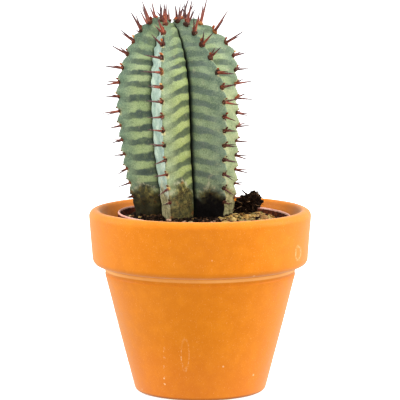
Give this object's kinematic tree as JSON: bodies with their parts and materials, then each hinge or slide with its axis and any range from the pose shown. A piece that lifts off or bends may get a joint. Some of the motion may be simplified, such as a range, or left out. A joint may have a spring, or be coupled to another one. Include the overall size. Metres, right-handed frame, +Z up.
{
  "type": "potted euphorbia",
  "caption": "Ribbed, banded columnar euphorbia with reddish spines, growing in a thin nursery pot that stands loose inside a rimmed terracotta pot.",
  "frame": {"origin": "centre of the terracotta pot's foot, on the surface it stands on", "axes": "+Z up through the pot's axis; -Y is the side with the narrow bluish rib face, +X is the side with the grit and the peat clump"},
  "size_m": [0.13, 0.13, 0.2296],
  "materials": {
    "terracotta": "matte",
    "nursery_plastic": "satin",
    "potting_mix": "matte",
    "stem_skin": "satin",
    "spine": "satin",
    "peat": "matte",
    "grit": "matte",
    "bark": "matte"
  },
  "bodies": {
    "root": {"bark_chip_1": "bark", "bark_chip_2": "bark", "bark_chip_3": "bark", "bark_chip_4": "bark", "bark_chip_5": "bark", "bark_chip_6": "bark", "euphorbia_stem": "stem_skin", "grit_01": "grit", "grit_02": "grit", "grit_03": "grit", "grit_04": "grit", "grit_05": "grit", "grit_06": "grit", "grit_07": "grit", "grit_08": "grit", "grit_09": "grit", "grit_10": "grit", "grit_11": "grit", "grit_12": "grit", "grit_13": "grit", "grit_14": "grit", "grit_15": "grit", "grit_16": "grit", "grit_17": "grit", "grit_18": "grit", "nursery_pot": "nursery_plastic", "peat_clump": "peat", "potting_soil": "potting_mix", "terracotta_pot": "terracotta"}
  },
  "joints": []
}
